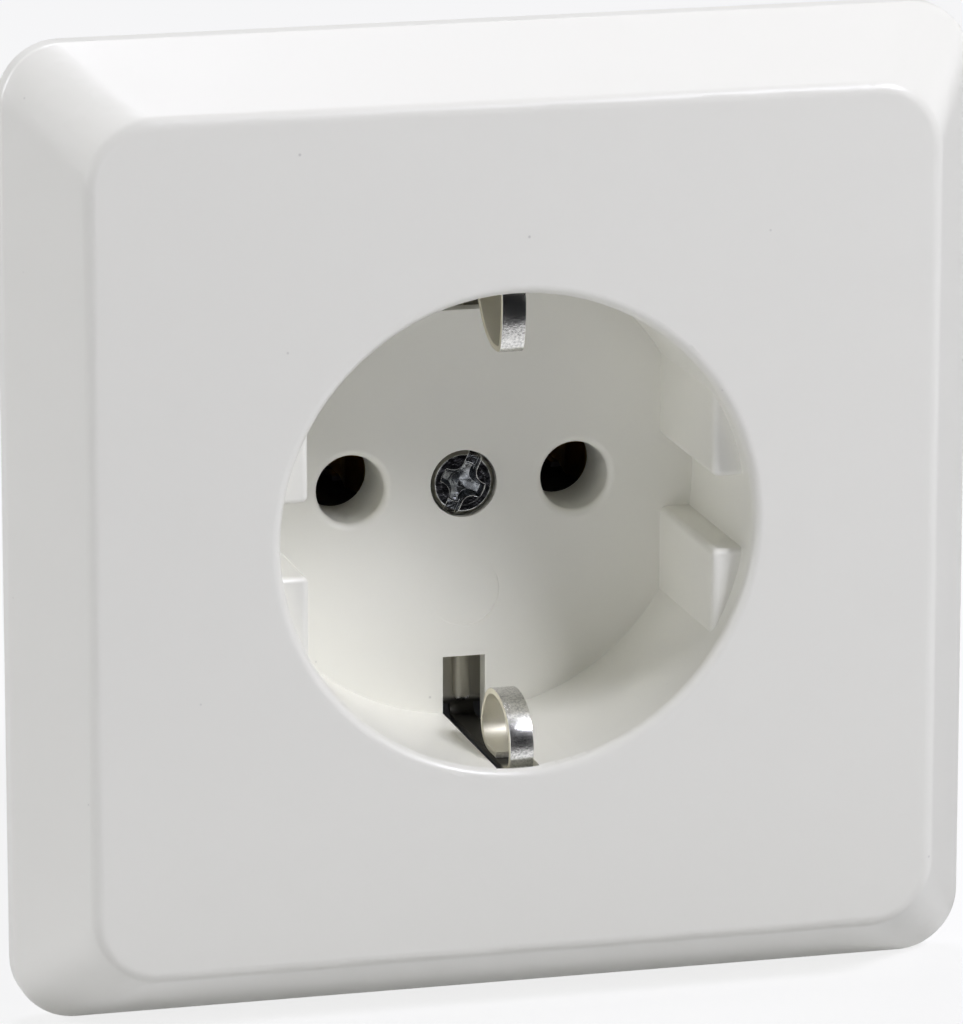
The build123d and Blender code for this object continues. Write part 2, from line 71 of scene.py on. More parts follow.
# Middle lines of the two spring loops, depth and height in mm, from the bridge to the free end.
TOP_LOOP = (
    (9.6, 20.45), (7.0, 20.45), (3.0, 20.45), (-2.0, 20.45), (-6.2, 20.45), (-7.2, 20.28),
    (-7.85, 19.75), (-8.1, 19.0), (-8.14, 18.0), (-8.08, 17.0), (-7.95, 16.2), (-7.77, 15.4),
    (-7.55, 14.85), (-7.15, 14.52), (-6.4, 14.44), (-5.4, 14.48), (-4.5, 14.7), (-3.5, 15.1),
    (-2.7, 15.62), (-2.05, 16.2), (-1.4, 16.95), (-0.7, 17.8), (-0.45, 18.6), (-0.65, 19.3),
    (-1.3, 19.72), (-2.4, 19.85), (-3.6, 19.85),
)
BOTTOM_LOOP = (
    (9.6, -20.45), (7.0, -20.45), (3.0, -20.45), (-2.0, -20.45), (-6.4, -20.45), (-7.6, -20.3),
    (-8.35, -19.75), (-8.6, -19.0), (-8.64, -18.25), (-8.55, -17.55), (-8.33, -16.92), (-7.95, -16.35),
    (-7.4, -15.8), (-6.6, -15.3), (-5.6, -14.95), (-4.5, -14.78), (-3.4, -14.78), (-2.3, -15.05),
    (-1.25, -15.7), (-0.6, -16.6), (-0.1, -17.5), (0.05, -18.3), (-0.25, -19.05), (-0.95, -19.6),
    (-1.9, -19.85), (-3.1, -19.88), (-4.4, -19.88),
)

# Middles of the two loops, across, depth and height in mm.
TOP_CENTRE = (0.0, -4.5, 17.5)
BOTTOM_CENTRE = (0.0, -4.0, -17.5)

# Sideways lean from which a face of a loop counts as its cut edge, and the span over which it sets in.
CUT_START = 0.55
CUT_RUN = 0.25

# Painted highlight lines, recess and tip of the cover screw.
EDGE_REACH = 0.07 * MM
EDGE_RISE = 0.05 * MM
TOP_LINE = 0.1 * MM
WING_LINE = 0.07 * MM
RECESS_START = 0.15 * MM
RECESS_RUN = 0.5 * MM
TIP_CHAMFER = 0.4 * MM
FLANK_RINGS = 10
CROSS_SLOPE = 0.6

# Span that most of a noise's values keep to.
NOISE_LOW = 0.3
NOISE_HIGH = 0.7

# Soft lamps round the object: name, bearing and height in degrees, distance and side in metres,
# power in watts, share of blue.
LAMPS = (
    ("key_lamp", 40.5, 44.0, 0.7, 0.18, 3.1, 1.09),
    ("rear_lamp", 180.0, 68.0, 1.1, 0.4, 4.0, 1.09),
    ("left_side_lamp", -112.0, 17.0, 1.1, 0.4, 4.7, 1.08),
    ("left_lamp", -63.0, 5.0, 1.1, 0.4, 1.85, 1.02),
    ("right_lamp", 100.0, 10.0, 1.1, 0.4, 0.62, 1.02),
    ("fill_lamp", -15.0, 15.0, 1.1, 0.4, 0.35, 1.02),
)

# Camera at the photograph's angle, place in metres, pitch and turn in degrees.
CAMERA_LENS = 266.8
CAMERA_PLACE = (-0.1554, -0.5762, 0.1483)
CAMERA_PITCH = 14.013
CAMERA_TURN = -15.051

# Half the floor's side, its drop below the object and the cards' lift above the object's foot.
FLOOR_HALF = 3.0
FLOOR_DROP = 0.1 * MM
CARD_LIFT = 0.4 * MM


# Properties


def length(name, description, default_mm):
    return FloatProperty(
        name=name,
        description=description,
        default=default_mm * MM,
        min=0.0,
        unit="LENGTH",
        precision=5,
    )


def angle(name, description, degrees):
    return FloatProperty(name=name, description=description, default=math.radians(degrees), subtype="ANGLE")


def colour(name, description, default):
    return FloatVectorProperty(
        name=name,
        description=description,
        default=default,
        size=3,
        min=0.0,
        max=1.0,
        subtype="COLOR",
    )


class SocketEdges(bpy.types.PropertyGroup):
    """Softened edges of the moulded and pressed pieces."""

    cover: length("Cover edge", "Soft edge left by the cover's mould", 0.16)
    carrier: length("Carrier edge", "Soft edge on the carrier and rear cover", 0.2)
    frame: length("Frame edge", "Rounding along the pressed frame's edges", 0.12)
    fastener: length("Fastener edge", "Rounding along the rivets' and terminal screws' edges", 0.1)
    sharp_angle: angle("Sharp angle", "Edges that turn by more than this are softened", 32.0)
    steps: IntProperty(
        name="Edge steps", description="Faces across each softened edge", default=3, min=1, max=6
    )


class SocketStrip(bpy.types.PropertyGroup):
    """Sizes of the earth strip, and where painted shade lies on it."""

    width: length("Width", "Width of the spring loops", 2.0)
    thickness: length("Thickness", "Thickness of the strip", 0.5)
    edge_round: length("Edge round", "Rounding along the strip's edges", 0.07)
    lower_shift: length("Lower shift", "Sideways set of the lower end in its slot", 0.55)
    set_start: length("Set start", "Drop from the middle at which the sideways set begins", 5.0)
    set_run: length("Set run", "Length over which the sideways set grows", 11.0)
    neck_half: length("Neck half", "Half width of the bridge that takes the whole set", 1.2)
    neck_run: length("Neck run", "Width over which the set fades to the bridge's sides", 2.3)
    bridge_cut: length("Bridge cut", "Depth at which the loops join the bridge", 9.2)
    # The bead, shade and slot settings place painted shade: the bridge darker, darkest in its bends, its
    # raised beads lighter, and the loops darker where they run in their slots.
    bead_depth: length("Bead depth", "Depth from which the bridge counts as bead", 10.15)
    bead_end: length("Bead end", "Distance from the middle at which the beads end", 19.35)
    bead_run: length("Bead run", "Length over which the bead's finish sets in", 0.3)
    shade_start: length("Dull start", "Distance from the middle at which the bridge turns dull", 18.6)
    shade_run: length("Dull run", "Length over which the bridge turns dull", 0.6)
    slot_start: length("Slot start", "Distance from the middle at which a loop lies in its slot", 20.08)
    slot_run: length("Slot run", "Length over which a loop turns dull in its slot", 0.1)
    slot_front: length("Slot front", "Depth in front of the wall line up to which a loop stays dull", 7.2)
    slot_fade: length("Slot fade", "Length over which the dull ends at the slot's front", 1.5)
    painted_shade_share: FloatProperty(
        name="Dullness", description="Share of dull finish on the bridge", default=0.22, min=0.0, max=1.0
    )
    steps: IntProperty(
        name="Path steps", description="Sections along each loop", default=260, min=40, max=600
    )


class SocketScrew(bpy.types.PropertyGroup):
    """Sizes of the cover screw and its drive."""

    head_height: length("Head height", "Height of the head", 2.0)
    head_radius: length("Head radius", "Radius of the head", 2.72)
    top_radius: length("Top radius", "Radius of the head's flat top", 2.35)
    flank_drop: length("Flank drop", "Fall of the flank round the flat top", 0.42)
    shank: length("Shank radius", "Radius of the shank", 1.5)
    slot_width: length("Slot width", "Width of the slot across the head", 1.1)
    slot_depth: length("Slot depth", "Depth of the slot", 0.5)
    slot_wall: length("Slot wall", "Run of the slot's walls", 0.14)
    wing_width: length("Wing width", "Width of the cross's wings", 1.08)
    wing_reach: length("Wing reach", "Radius of the cross's wing ends", 1.85)
    wing_corner: length("Wing corner", "Softening of the cross's inner corners", 1.2)
    cross_depth: length("Cross depth", "Depth of the cross at its middle", 1.5)
    cross_wall: length("Cross wall", "Run of the cross's walls", 0.3)
    ring_step: length("Ring step", "Spacing of the mesh rings on the head", 0.035)
    turn: angle("Turn", "Turn of the slot from level", 65.0)
    sides: IntProperty(name="Sides", description="Faces round the head", default=400, min=60, max=720)


class SocketFinishes(bpy.types.PropertyGroup):
    """Colours of the finishes, of the painted shade, reflections and highlights on the metal, and of the
    stage.
    """

    cover: colour("Cover white", "Warm white of the cover's plastic", (0.93, 0.923, 0.85))
    speck: colour("Speck", "Fine dark grains on the cover", (0.5, 0.49, 0.46))
    tin: colour("Tin", "Plating of the earth strip", (0.80, 0.795, 0.775))
    cut_edge: colour("Cut edge", "Bare cut edges of the earth strip", (0.74, 0.71, 0.60))
    # Inner face colour: painted shade on the loops' inside and on the bridge; darkened, it also gives the
    # strip's dark painted shade and the screw flank's painted reflection.
    inner: colour("Inner face", "Dull inside of the spring loops", (0.58, 0.56, 0.48))
    zinc: colour("Zinc", "Plating of the screws and rivets", (0.52, 0.55, 0.59))
    # Painted dark reflection: the near-black colour of the screw's flat top.
    painted_dark_reflection: colour("Dark zinc", "Passivated top of the cover screw", (0.05, 0.05, 0.056))
    # Painted highlight: the bright colour on the screw's edges, its top ring and its wing ends.
    edges_and_painted_light: colour("Worn edge", "Bright metal on the cover screw's worn edges", (0.86, 0.87, 0.86))
    steel: colour("Frame steel", "Plated steel of the mounting frame", (0.56, 0.57, 0.58))
    spring: colour("Spring steel", "Steel of the grip springs", (0.42, 0.42, 0.43))
    brass: colour("Brass", "Brass of the contacts and terminals", (0.72, 0.52, 0.24))
    carrier: colour("Carrier", "Dark plastic behind the well", (0.045, 0.046, 0.048))
    floor: colour("Floor", "Pale floor under the object", (0.64, 0.64, 0.64))
    card: colour("Card", "Dark cards that the metal mirrors", (0.006, 0.006, 0.007))
    rear_card: colour("Rear card", "Grey cards that the plate's edges mirror", (0.36, 0.36, 0.36))


# Node helpers


def new_material(name):
    material = bpy.data.materials.new(name)
    material.use_nodes = True
    material.node_tree.nodes.clear()
    return material


def add_node(tree, kind, links=(), **values):
    """A node with values set by input name or setting name, and links given as (source, input) pairs."""
    node = tree.nodes.new(kind)
    for key, value in values.items():
        if key in node.inputs:
            node.inputs[key].default_value = value
        else:
            setattr(node, key, value)
    for source, target in links:
        tree.links.new(source, node.inputs[target])
    return node


def noise(tree, vector, scale, detail=3.0, roughness=0.55):
    node = add_node(
        tree, "ShaderNodeTexNoise", ((vector, "Vector"),), Scale=scale, Detail=detail, Roughness=roughness
    )
    return node.outputs["Fac"]


def ranged(tree, value, low, high, to_low, to_high):
    node = add_node(tree, "ShaderNodeMapRange", ((value, "Value"),))
    for key, number in (("From Min", low), ("From Max", high), ("To Min", to_low), ("To Max", to_high)):
        node.inputs[key].default_value = number
    return node.outputs["Result"]


def spread(tree, value, to_low=0.0, to_high=1.0):
    """A noise's usual span stretched to the given values."""
    return ranged(tree, value, NOISE_LOW, NOISE_HIGH, to_low, to_high)


def blend_colour(tree, factor, first, second):
    node = add_node(tree, "ShaderNodeMix", ((factor, 0),), data_type="RGBA")
    for socket, value in ((node.inputs[6], first), (node.inputs[7], second)):
        if isinstance(value, bpy.types.NodeSocket):
            tree.links.new(value, socket)
        else:
            socket.default_value = (*value, 1.0)
    return node.outputs[2]


def shade(colour_value, share):
    return tuple(min(1.0, channel * share) for channel in colour_value)


def bump(tree, height, distance, strength):
    node = add_node(tree, "ShaderNodeBump", ((height, "Height"),), Distance=distance, Strength=strength)
    return node.outputs["Normal"]


def surface(material, metallic):
    tree = material.node_tree
    shader = add_node(tree, "ShaderNodeBsdfPrincipled", Metallic=metallic)
    add_node(tree, "ShaderNodeOutputMaterial", ((shader.outputs["BSDF"], "Surface"),))
    return tree, shader


def marks(tree, *names):
    """The named marks painted on the mesh's points."""
    return [add_node(tree, "ShaderNodeAttribute", attribute_name=name).outputs["Fac"] for name in names]


def object_place(tree):
    return tree.nodes.new("ShaderNodeTexCoord").outputs["Object"]


# Finishes


def cover_plastic(finish):
    material = new_material("cover_plastic_moulded")
    tree, shader = surface(material, 0.0)
    place = object_place(tree)
    cloud = noise(tree, place, 25.0, 1.0)
    body = blend_colour(
        tree, spread(tree, cloud), shade(finish.cover, 0.992), shade(finish.cover, 1.006)
    )
    grains = add_node(tree, "ShaderNodeTexVoronoi", ((place, "Vector"),), Scale=190.0)
    speckle = ranged(tree, grains.outputs["Distance"], 0.012, 0.03, 0.5, 0.0)
    tree.links.new(blend_colour(tree, speckle, body, tuple(finish.speck)), shader.inputs["Base Color"])
    grain = noise(tree, place, 260.0, 2.0)
    tree.links.new(spread(tree, grain, 0.3, 0.36), shader.inputs["Roughness"])
    return material


def tinned_spring(finish):
    material = new_material("tinned_spring_pitted")
    tree, shader = surface(material, 1.0)
    place = object_place(tree)
    pits = noise(tree, place, 5200.0, 3.0, 0.65)
    cloud = noise(tree, place, 500.0, 2.0)
    inner, cut, painted_shade = marks(tree, "inner", "cut", "painted_shade")
    plating = blend_colour(
        tree, ranged(tree, pits, 0.38, 0.56, 0.0, 1.0), shade(finish.tin, 0.68), tuple(finish.tin)
    )
    # Painted shade: the loops' inside and the bridge take the darker, warmer inner colour.
    inside = blend_colour(tree, inner, plating, tuple(finish.inner))
    edged = blend_colour(tree, cut, inside, tuple(finish.cut_edge))
    # Painted shade: the bridge, its bends and the loops' runs in their slots darken towards a very dark
    # olive.
    tree.links.new(blend_colour(tree, painted_shade, edged, shade(finish.inner, 0.1)), shader.inputs["Base Color"])
    polish = spread(tree, cloud, 0.18, 0.26)
    edges_and_painted_light = add_node(tree, "ShaderNodeMath", ((inner, 0), (cut, 1)), operation="MAXIMUM")
    matt = add_node(tree, "ShaderNodeMath", ((edges_and_painted_light.outputs[0], 0), (painted_shade, 1)), operation="MAXIMUM")
    rough = add_node(tree, "ShaderNodeMix", ((matt.outputs[0], 0), (polish, 2)))
    rough.inputs[3].default_value = 0.55
    tree.links.new(rough.outputs[0], shader.inputs["Roughness"])
    tree.links.new(bump(tree, pits, 0.00004, 0.4), shader.inputs["Normal"])
    return material


def plated_metal(name, plating, grain_scale, rough_low, rough_high, dark_share):
    material = new_material(name)
    tree, shader = surface(material, 1.0)
    place = object_place(tree)
    cloud = noise(tree, place, 420.0, 3.0)
    grain = noise(tree, place, grain_scale, 3.0)
    tone = blend_colour(
        tree, ranged(tree, cloud, 0.32, 0.68, 0.0, 1.0), shade(plating, dark_share), tuple(plating)
    )
    tree.links.new(tone, shader.inputs["Base Color"])
    tree.links.new(spread(tree, grain, rough_low, rough_high), shader.inputs["Roughness"])
    tree.links.new(bump(tree, grain, 0.00002, 0.2), shader.inputs["Normal"])
    return material


def screw_plating(finish):
    """Painted dark reflection on the top, painted shade in the greyer recess, painted reflection on the
    flank and painted highlights on the edges.
    """
    material = new_material("cover_screw_painted_light")
    tree, shader = surface(material, 1.0)
    place = object_place(tree)
    cloud = noise(tree, place, 900.0, 3.0)
    # Painted dark reflection on the screw's flat top.
    top = blend_colour(
        tree,
        ranged(tree, cloud, 0.35, 0.65, 0.0, 1.0),
        shade(finish.painted_dark_reflection, 0.6),
        shade(finish.painted_dark_reflection, 1.3),
    )
    depth, flank, edges_and_painted_light = marks(tree, "recess", "flank", "edge")
    dents = noise(tree, place, 1700.0, 2.0)
    # Painted shade: the recess takes a darkened zinc.
    painted_recess_shade = blend_colour(
        tree, ranged(tree, dents, 0.4, 0.6, 0.0, 1.0), shade(finish.zinc, 0.3), shade(finish.zinc, 0.7)
    )
    sunk = blend_colour(tree, depth, top, painted_recess_shade)
    # Painted reflection: the flank round the top takes a dark olive in place of the shaded plastic it
    # mirrors.
    sided = blend_colour(tree, flank, sunk, shade(finish.inner, 0.3))
    # Painted highlights on the edges, broken into patches by noise.
    highlight_patches = ranged(tree, dents, 0.38, 0.6, 0.25, 0.9)
    patchy = add_node(tree, "ShaderNodeMath", ((edges_and_painted_light, 0), (highlight_patches, 1)), operation="MULTIPLY")
    whole = blend_colour(tree, patchy.outputs[0], sided, tuple(finish.edges_and_painted_light))
    tree.links.new(whole, shader.inputs["Base Color"])
    tree.links.new(spread(tree, cloud, 0.17, 0.26), shader.inputs["Roughness"])
    tree.links.new(bump(tree, dents, 0.00012, 0.5), shader.inputs["Normal"])
    return material


def carrier_plastic(finish):
    material = new_material("carrier_plastic_matt")
    tree, shader = surface(material, 0.0)
    place = object_place(tree)
    cloud = noise(tree, place, 140.0, 3.0)
    grain = noise(tree, place, 2600.0, 2.0)
    body = blend_colour(
        tree, spread(tree, cloud), shade(finish.carrier, 0.85), shade(finish.carrier, 1.2)
    )
    tree.links.new(body, shader.inputs["Base Color"])
    tree.links.new(spread(tree, grain, 0.45, 0.62), shader.inputs["Roughness"])
    tree.links.new(bump(tree, grain, 0.00004, 0.25), shader.inputs["Normal"])
    return material


def zinc_plating(finish):
    return plated_metal("zinc_plating", finish.zinc, 2600.0, 0.29, 0.42, 0.6)


# Mesh helpers


def merged_copy(node):
    """The node's mesh with its loose triangles joined and its flat faces whole, ready to edit."""
    work = bmesh.new()
    work.from_mesh(frame["nodes"][node].data)
    bmesh.ops.remove_doubles(work, verts=work.verts, dist=0.002 * MM)
    bmesh.ops.dissolve_limit(
        work,
        angle_limit=math.radians(0.2),
        use_dissolve_boundaries=False,
        verts=work.verts,
        edges=work.edges,
    )
    return work


def new_piece(name, work, material, sharp_angle):
    """An object made of the edited mesh, with smooth faces between its sharp edges."""
    mesh = bpy.data.meshes.new(name)
    work.to_mesh(mesh)
    work.free()
    mesh.shade_smooth()
    mesh.set_sharp_from_angle(angle=sharp_angle)
    mesh.materials.append(material)
    piece = bpy.data.objects.new(name, mesh)
    bpy.context.scene.collection.objects.link(piece)
    return piece


def soften(piece, width, edges):
    rounding = piece.modifiers.new("soft_edges", "BEVEL")
    rounding.width = width
    rounding.segments = edges.steps
    rounding.limit_method = "ANGLE"
    rounding.angle_limit = edges.sharp_angle
    rounding.use_clamp_overlap = True
    rounding.miter_outer = "MITER_ARC"
    flatten = piece.modifiers.new("flat_faces", "WEIGHTED_NORMAL")
    flatten.keep_sharp = True
    flatten.weight = 60


def stand_for(piece, slot, *nodes):
    """Ties the piece to the root body and hides these solids, which it stands for."""
    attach(piece, "root")
    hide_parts(*nodes)


def softened_node(name, node, width, edges, material, slot):
    """A copy of the node with its sharp edges rounded, standing for the node."""
    piece = new_piece(name, merged_copy(node), material, edges.sharp_angle)
    soften(piece, width, edges)
    stand_for(piece, slot, node)


def finish_nodes(material, *nodes):
    """Gives carried-over solids their finish."""
    for node in nodes:
        for slot in frame["nodes"][node].material_slots:
            slot.material = material


def make_plain(piece):
    """Turns the piece's modified shape into its own mesh."""
    graph = bpy.context.evaluated_depsgraph_get()
    mesh = bpy.data.meshes.new_from_object(
        piece.evaluated_get(graph), preserve_all_data_layers=True, depsgraph=graph
    )
    piece.modifiers.clear()
    piece.data = mesh


def ease(value):
    value = min(max(value, 0.0), 1.0)
    return value * value * (3.0 - 2.0 * value)


# Geometry node trees


def new_tree(name, inputs):
    """An empty tree with its named inputs, and its input and output nodes."""
    tree = bpy.data.node_groups.new(name, "GeometryNodeTree")
    for label, kind in inputs:
        tree.interface.new_socket(name=label, in_out="INPUT", socket_type="NodeSocket" + kind)
    tree.interface.new_socket(name="Result", in_out="OUTPUT", socket_type="NodeSocketGeometry")
    return tree, tree.nodes.new("NodeGroupInput"), tree.nodes.new("NodeGroupOutput")


def end_tree(tree, source, geometry, output):
    """Realizes the instances, sets the finish and closes the tree."""
    real = add_node(tree, "GeometryNodeRealizeInstances", ((geometry, "Geometry"),))
    done = add_node(
        tree,
        "GeometryNodeSetMaterial",
        ((real.outputs[0], "Geometry"), (source.outputs["Finish"], "Material")),
    )
    tree.links.new(done.outputs[0], output.inputs[0])
    return tree


def use_tree(piece, tree, values):
    modifier = piece.modifiers.new(tree.name, "NODES")
    modifier.node_group = tree
    for item in tree.interface.items_tree:
        if item.in_out == "INPUT" and item.name in values:
            modifier[item.identifier] = values[item.name]


def strip_tree():
    """Sweeps a flat strip with rounded edges along a path."""
    tree, source, output = new_tree(
        "strip_along_path",
        (
            ("Path", "Geometry"),
            ("Width", "Float"),
            ("Thickness", "Float"),
            ("Edge Round", "Float"),
            ("Steps", "Int"),
            ("Finish", "Material"),
        ),
    )
    given = source.outputs
    line = add_node(tree, "GeometryNodeMeshToCurve", ((given["Path"], "Mesh"),))
    bent = add_node(
        tree, "GeometryNodeCurveSplineType", ((line.outputs[0], "Curve"),), spline_type="CATMULL_ROM"
    )
    even = add_node(
        tree, "GeometryNodeResampleCurve", ((bent.outputs[0], "Curve"), (given["Steps"], "Count"))
    )
    section = add_node(
        tree,
        "GeometryNodeCurvePrimitiveQuadrilateral",
        ((given["Width"], "Width"), (given["Thickness"], "Height")),
    )
    soft = add_node(
        tree,
        "GeometryNodeFilletCurve",
        ((section.outputs[0], "Curve"), (given["Edge Round"], "Radius")),
        mode="POLY",
        Count=4,
    )
    swept = add_node(
        tree,
        "GeometryNodeCurveToMesh",
        ((even.outputs[0], "Curve"), (soft.outputs[0], "Profile Curve")),
    )
    swept.inputs["Fill Caps"].default_value = True
    return end_tree(tree, source, swept.outputs[0], output)


def row_tree():
    """Repeats one fastener along a row."""
    tree, source, output = new_tree(
        "fastener_row",
        (("Fastener", "Geometry"), ("Count", "Int"), ("Step", "Vector"), ("Finish", "Material")),
    )
    given = source.outputs
    places = add_node(
        tree,
        "GeometryNodeMeshLine",
        ((given["Count"], "Count"), (given["Step"], "Offset")),
        mode="OFFSET",
    )
    one = add_node(tree, "GeometryNodeGeometryToInstance", ((given["Fastener"], "Geometry"),))
    many = add_node(
        tree,
        "GeometryNodeInstanceOnPoints",
        ((places.outputs[0], "Points"), (one.outputs[0], "Instance")),
    )
    return end_tree(tree, source, many.outputs[0], output)


def fastener_pair(name, node, tree, edges, material, slot):
    """One of the node's two fasteners, softened and repeated along their row."""
    low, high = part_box(node)
    axis = 0 if high.x - low.x > high.z - low.z else 2
    middle = (low[axis] + high[axis]) / 2
    work = merged_copy(node)
    far = [v for v in work.verts if v.co[axis] > middle]
    bmesh.ops.delete(work, geom=far, context="VERTS")
    near = [v.co[axis] for v in work.verts]
    step = Vector((0.0, 0.0, 0.0))
    step[axis] = high[axis] - max(near)
    piece = new_piece(name, work, material, edges.sharp_angle)
    soften(piece, edges.fastener, edges)
    use_tree(piece, tree, {"Count": 2, "Step": step, "Finish": material})
    make_plain(piece)
    stand_for(piece, slot, node)


# Earth strip


def swept_loop(name, path, across, strip, tree, material):
    """One spring loop swept along its middle line."""
    points = [(across, depth * MM, height * MM) for depth, height in path]
    mesh = bpy.data.meshes.new(name)
    mesh.from_pydata(points, [(i, i + 1) for i in range(len(points) - 1)], [])
    piece = bpy.data.objects.new(name, mesh)
    bpy.context.scene.collection.objects.link(piece)
    values = {
        "Width": strip.width,
        "Thickness": strip.thickness,
        "Edge Round": strip.edge_round,
        "Steps": strip.steps,
        "Finish": material,
    }
    use_tree(piece, tree, values)
    make_plain(piece)
    piece.data.shade_smooth()
    return piece


def split(work, place, facing, clear=False):
    """Cuts the mesh along a plane, clears what lies behind it where asked, and gives the cut's edges."""
    cut = bmesh.ops.bisect_plane(
        work,
        geom=work.verts[:] + work.edges[:] + work.faces[:],
        plane_co=place,
        plane_no=facing,
        clear_inner=clear,
    )
    return [e for e in cut["geom_cut"] if isinstance(e, bmesh.types.BMEdge)]


def bridge_work(strip):
    """The bridge, its beads and its arm, closed where the loops leave it, its lower end set sideways."""
    work = merged_copy("earth_bracket")
    rim = split(work, (0.0, strip.bridge_cut, 0.0), (0.0, 1.0, 0.0), clear=True)
    bmesh.ops.holes_fill(work, edges=rim, sides=0)
    full = strip.shade_start + strip.shade_run
    for level in (-full, -strip.shade_start, strip.shade_start, full):
        split(work, (0.0, 0.0, level), (0.0, 0.0, 1.0))
    bmesh.ops.dissolve_degenerate(work, dist=0.002 * MM, edges=work.edges)
    layers = work.verts.layers.float
    for name in ("painted_shade", "inner", "cut"):
        layers.new(name)
    painted_shade, matt = layers["painted_shade"], layers["inner"]
    # Painted shade on the bridge: a share everywhere, full towards its bends, none on the raised beads,
    # which stand lit.
    for v in work.verts:
        out = abs(v.co.z)
        raised = ease((strip.bead_depth - v.co.y) / strip.bead_run)
        raised *= ease((strip.bead_end - out) / strip.bead_run)
        end = ease((out - strip.shade_start) / strip.shade_run)
        v[painted_shade] = max(strip.painted_shade_share, end) * (1.0 - raised)
        # The whole bridge takes the inside mark: painted shade in the inner colour and a rougher finish.
        v[matt] = 1.0
        down = ease((-v.co.z - strip.set_start) / strip.set_run)
        inner = 1.0 - ease((abs(v.co.x) - strip.neck_half) / strip.neck_run)
        v.co.x += strip.lower_shift * down * inner
    bmesh.ops.recalc_face_normals(work, faces=work.faces)
    return work


def add_loop(work, loop, centre, strip):
    """Joins a loop to the bridge and marks its cut edges, its inside and its run in the slot, the last two
    for painted shade.
    """
    count = len(work.verts)
    work.from_mesh(loop.data)
    bpy.data.objects.remove(loop)
    work.verts.ensure_lookup_table()
    work.normal_update()
    layers = work.verts.layers.float
    painted_shade, inside, cut = layers["painted_shade"], layers["inner"], layers["cut"]
    for v in work.verts[count:]:
        v[cut] = ease((abs(v.normal.x) - CUT_START) / CUT_RUN)
        facing = Vector(centre) * MM - v.co
        v[inside] = 1.0 if facing.dot(v.normal) > 0.0 else 0.0
        sunk = ease((abs(v.co.z) - strip.slot_start) / strip.slot_run)
        v[painted_shade] = sunk * ease((v.co.y + strip.slot_front) / strip.slot_fade)


# Cover screw


def drive_depth(along, across, screw):
    """Depth of the slot and of the cross below the head's top."""
    slot = screw.slot_depth * ease((screw.slot_width / 2 - abs(across)) / screw.slot_wall + 0.5)
    radius = math.hypot(along, across)
    end = radius - screw.wing_reach
    first = max(abs(across) - screw.wing_width / 2, end)
    second = max(abs(along) - screw.wing_width / 2, end)
    near = max(screw.wing_corner - abs(first - second), 0.0) / screw.wing_corner
    outside = min(first, second) - near * near * screw.wing_corner / 4
    floor = screw.cross_depth * (1.0 - CROSS_SLOPE * min(radius / screw.wing_reach, 1.0))
    return max(slot, floor * ease(0.25 - outside / screw.cross_wall))


def screw_work(screw):
    """The whole screw as rings about its axis, with the drive sunk in its head and the places of its
    painted highlights, reflection and shade marked.
    """
    low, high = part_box("cover_screw")
    top, tip, radius, flat = low.y, high.y, screw.head_radius, screw.top_radius
    seat = top + screw.head_height
    count = int(flat / screw.ring_step)
    radii = [flat * (i + 1) / count for i in range(count)]
    radii += [flat + (radius - flat) * (i + 1) / FLANK_RINGS for i in range(FLANK_RINGS)]
    cos_turn, sin_turn = math.cos(screw.turn), math.sin(screw.turn)

    def drop(x, z):
        over = max(math.hypot(x, z) - flat, 0.0) / (radius - flat)
        flank = screw.flank_drop * (0.6 * over + 0.4 * over**4)
        return max(flank, drive_depth(x * cos_turn + z * sin_turn, z * cos_turn - x * sin_turn, screw))

    work = bmesh.new()
    edge_mark = work.verts.layers.float.new("edge")
    depth_mark = work.verts.layers.float.new("recess")
    flank_mark = work.verts.layers.float.new("flank")

    def ring(r, depth_at):
        verts = []
        for k in range(screw.sides):
            turn = 2.0 * math.pi * k / screw.sides
            x, z = r * math.cos(turn), r * math.sin(turn)
            verts.append(work.verts.new((x, depth_at(x, z), z)))
        return verts

    # Marks where the painted light goes: highlights on the edges, the top ring and the wing ends, a
    # reflection on the flank, shade in the recess.
    def marked(v):
        x, z = v.co.x, v.co.z
        here = v.co.y - top
        steps = ((EDGE_REACH, 0.0), (-EDGE_REACH, 0.0), (0.0, EDGE_REACH), (0.0, -EDGE_REACH))
        round_about = [drop(x + dx, z + dz) for dx, dz in steps]
        v[edge_mark] = ease((sum(round_about) / len(steps) - here) / EDGE_RISE)
        out = math.hypot(x, z)
        if here < EDGE_RISE:
            top_line = 0.8 * ease(1.0 - abs(out - flat) / TOP_LINE)
            wing_line = 0.3 * ease(1.0 - abs(out - screw.wing_reach) / WING_LINE)
            v[edge_mark] = max(v[edge_mark], top_line, wing_line)
        v[flank_mark] = ease((out - flat) / TOP_LINE)
        v[depth_mark] = ease((here - RECESS_START) / RECESS_RUN) * (1.0 - v[flank_mark])

    centre = work.verts.new((0.0, top + drop(0.0, 0.0), 0.0))
    rings = [ring(r, lambda x, z: top + drop(x, z)) for r in radii]
    marked(centre)
    for verts in rings:
        for v in verts:
            marked(v)
    outline = (
        (radius, seat - 0.2 * MM),
        (radius, seat - 0.02 * MM),
        (radius - 0.02 * MM, seat),
        (screw.shank, seat),
        (screw.shank, tip - TIP_CHAMFER),
        (screw.shank - TIP_CHAMFER, tip),
    )
    for r, depth in outline:
        rings.append(ring(r, lambda x, z, depth=depth: depth))
    end = work.verts.new((0.0, tip, 0.0))
    for k in range(screw.sides):
        n = (k + 1) % screw.sides
        work.faces.new((centre, rings[0][k], rings[0][n]))
        for inner, outer in zip(rings, rings[1:]):
            work.faces.new((inner[k], outer[k], outer[n], inner[n]))
        work.faces.new((end, rings[-1][n], rings[-1][k]))
    bmesh.ops.recalc_face_normals(work, faces=work.faces)
    return work


# Operators


